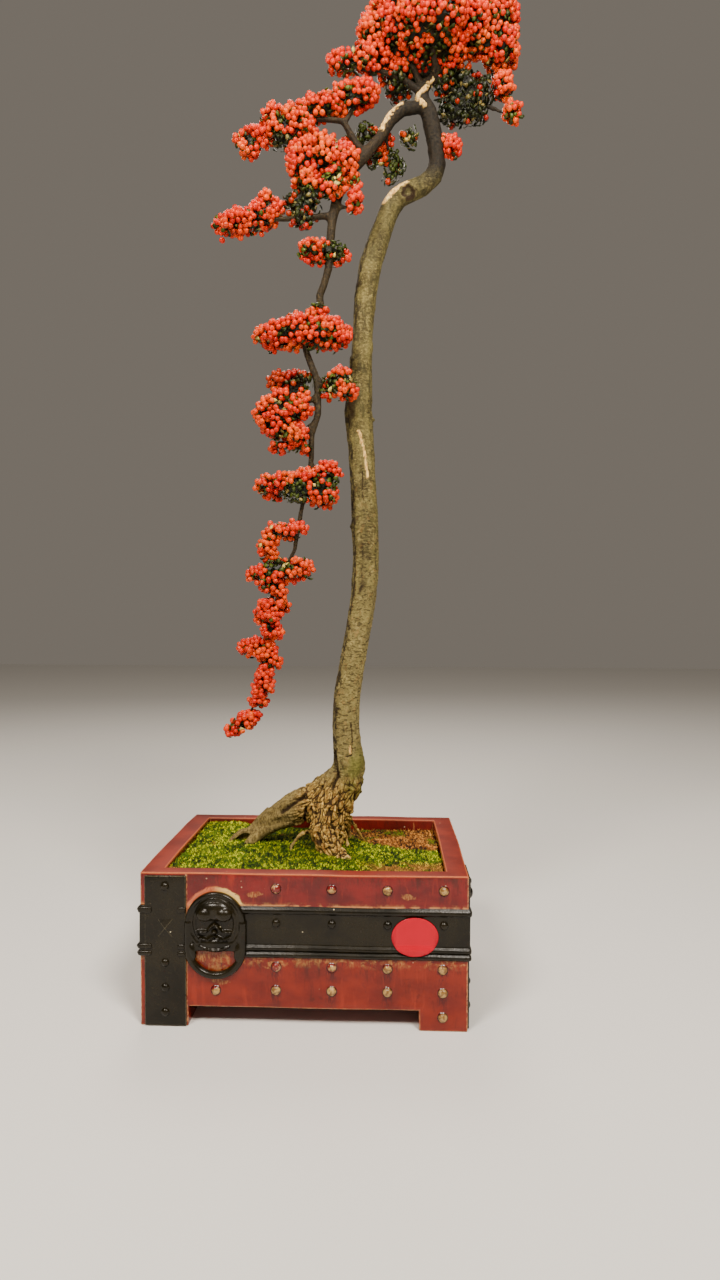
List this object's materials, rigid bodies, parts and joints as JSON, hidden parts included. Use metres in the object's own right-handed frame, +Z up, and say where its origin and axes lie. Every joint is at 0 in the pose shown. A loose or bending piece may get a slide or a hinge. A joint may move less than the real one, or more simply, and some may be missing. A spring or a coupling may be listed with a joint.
{
  "type": "potted cotoneaster bonsai",
  "caption": "Tall literati-style cotoneaster bonsai with a bare trunk, a cascading branch, tiers of leaves and red berries, and a glazed chest-shaped pot.",
  "frame": {"origin": "on the ground, under the middle of the whole object's box", "axes": "+Z up along the tree, +X to the right and -Y towards the viewer of the pot's front, the long face with the blank label"},
  "size_m": [0.423, 0.258, 1.1538],
  "materials": {
    "glaze": "oxblood red glaze with olive black glazed iron-work, satin to glossy, tan where it breaks over edges",
    "bark": "matte olive tan bark with fine cracks and pale scars",
    "soil": "damp dark granular soil",
    "moss": "living yellow green moss",
    "dry_moss": "dry brown moss and grit",
    "screen_plastic": "black drainage mesh",
    "sticker": "plain glossy red oval label, blank",
    "foliage": "small dark green leathery leaves, some yellow green",
    "fruit": "orange red berries, glossy"
  },
  "bodies": {
    "root": {"berries_crown_left": "fruit", "berries_crown_low_right": "fruit", "berries_crown_right": "fruit", "berries_crown_top": "fruit", "berries_crown_top_left": "fruit", "berries_dome": "fruit", "berries_dome_right": "fruit", "berries_fan": "fruit", "berries_heart": "fruit", "berries_heart_foot": "fruit", "berries_inner_sprig": "fruit", "berries_left_arm": "fruit", "berries_long_tier": "fruit", "berries_long_tier_tip": "fruit", "berries_low_tier": "fruit", "berries_right_sprig": "fruit", "berries_right_tip": "fruit", "berries_right_tuft": "fruit", "berries_saddle": "fruit", "berries_small_tier": "fruit", "berries_tail_lower": "fruit", "berries_tail_middle": "fruit", "berries_tail_tip": "fruit", "berries_tail_upper": "fruit", "berries_wide_tier": "fruit", "label": "sticker", "leaves_crown_left": "foliage", "leaves_crown_low_right": "foliage", "leaves_crown_right": "foliage", "leaves_crown_top": "foliage", "leaves_crown_top_left": "foliage", "leaves_dome": "foliage", "leaves_dome_right": "foliage", "leaves_fan": "foliage", "leaves_heart": "foliage", "leaves_heart_foot": "foliage", "leaves_inner_sprig": "foliage", "leaves_left_arm": "foliage", "leaves_long_tier": "foliage", "leaves_long_tier_tip": "foliage", "leaves_low_tier": "foliage", "leaves_right_sprig": "foliage", "leaves_right_tip": "foliage", "leaves_right_tuft": "foliage", "leaves_saddle": "foliage", "leaves_small_tier": "foliage", "leaves_tail_lower": "foliage", "leaves_tail_middle": "foliage", "leaves_tail_tip": "foliage", "leaves_tail_upper": "foliage", "leaves_wide_tier": "foliage", "moss_dry": "dry_moss", "moss_green": "moss", "pot": "glaze", "screen_left": "screen_plastic", "screen_right": "screen_plastic", "soil": "soil", "wood": "bark"}
  },
  "joints": []
}
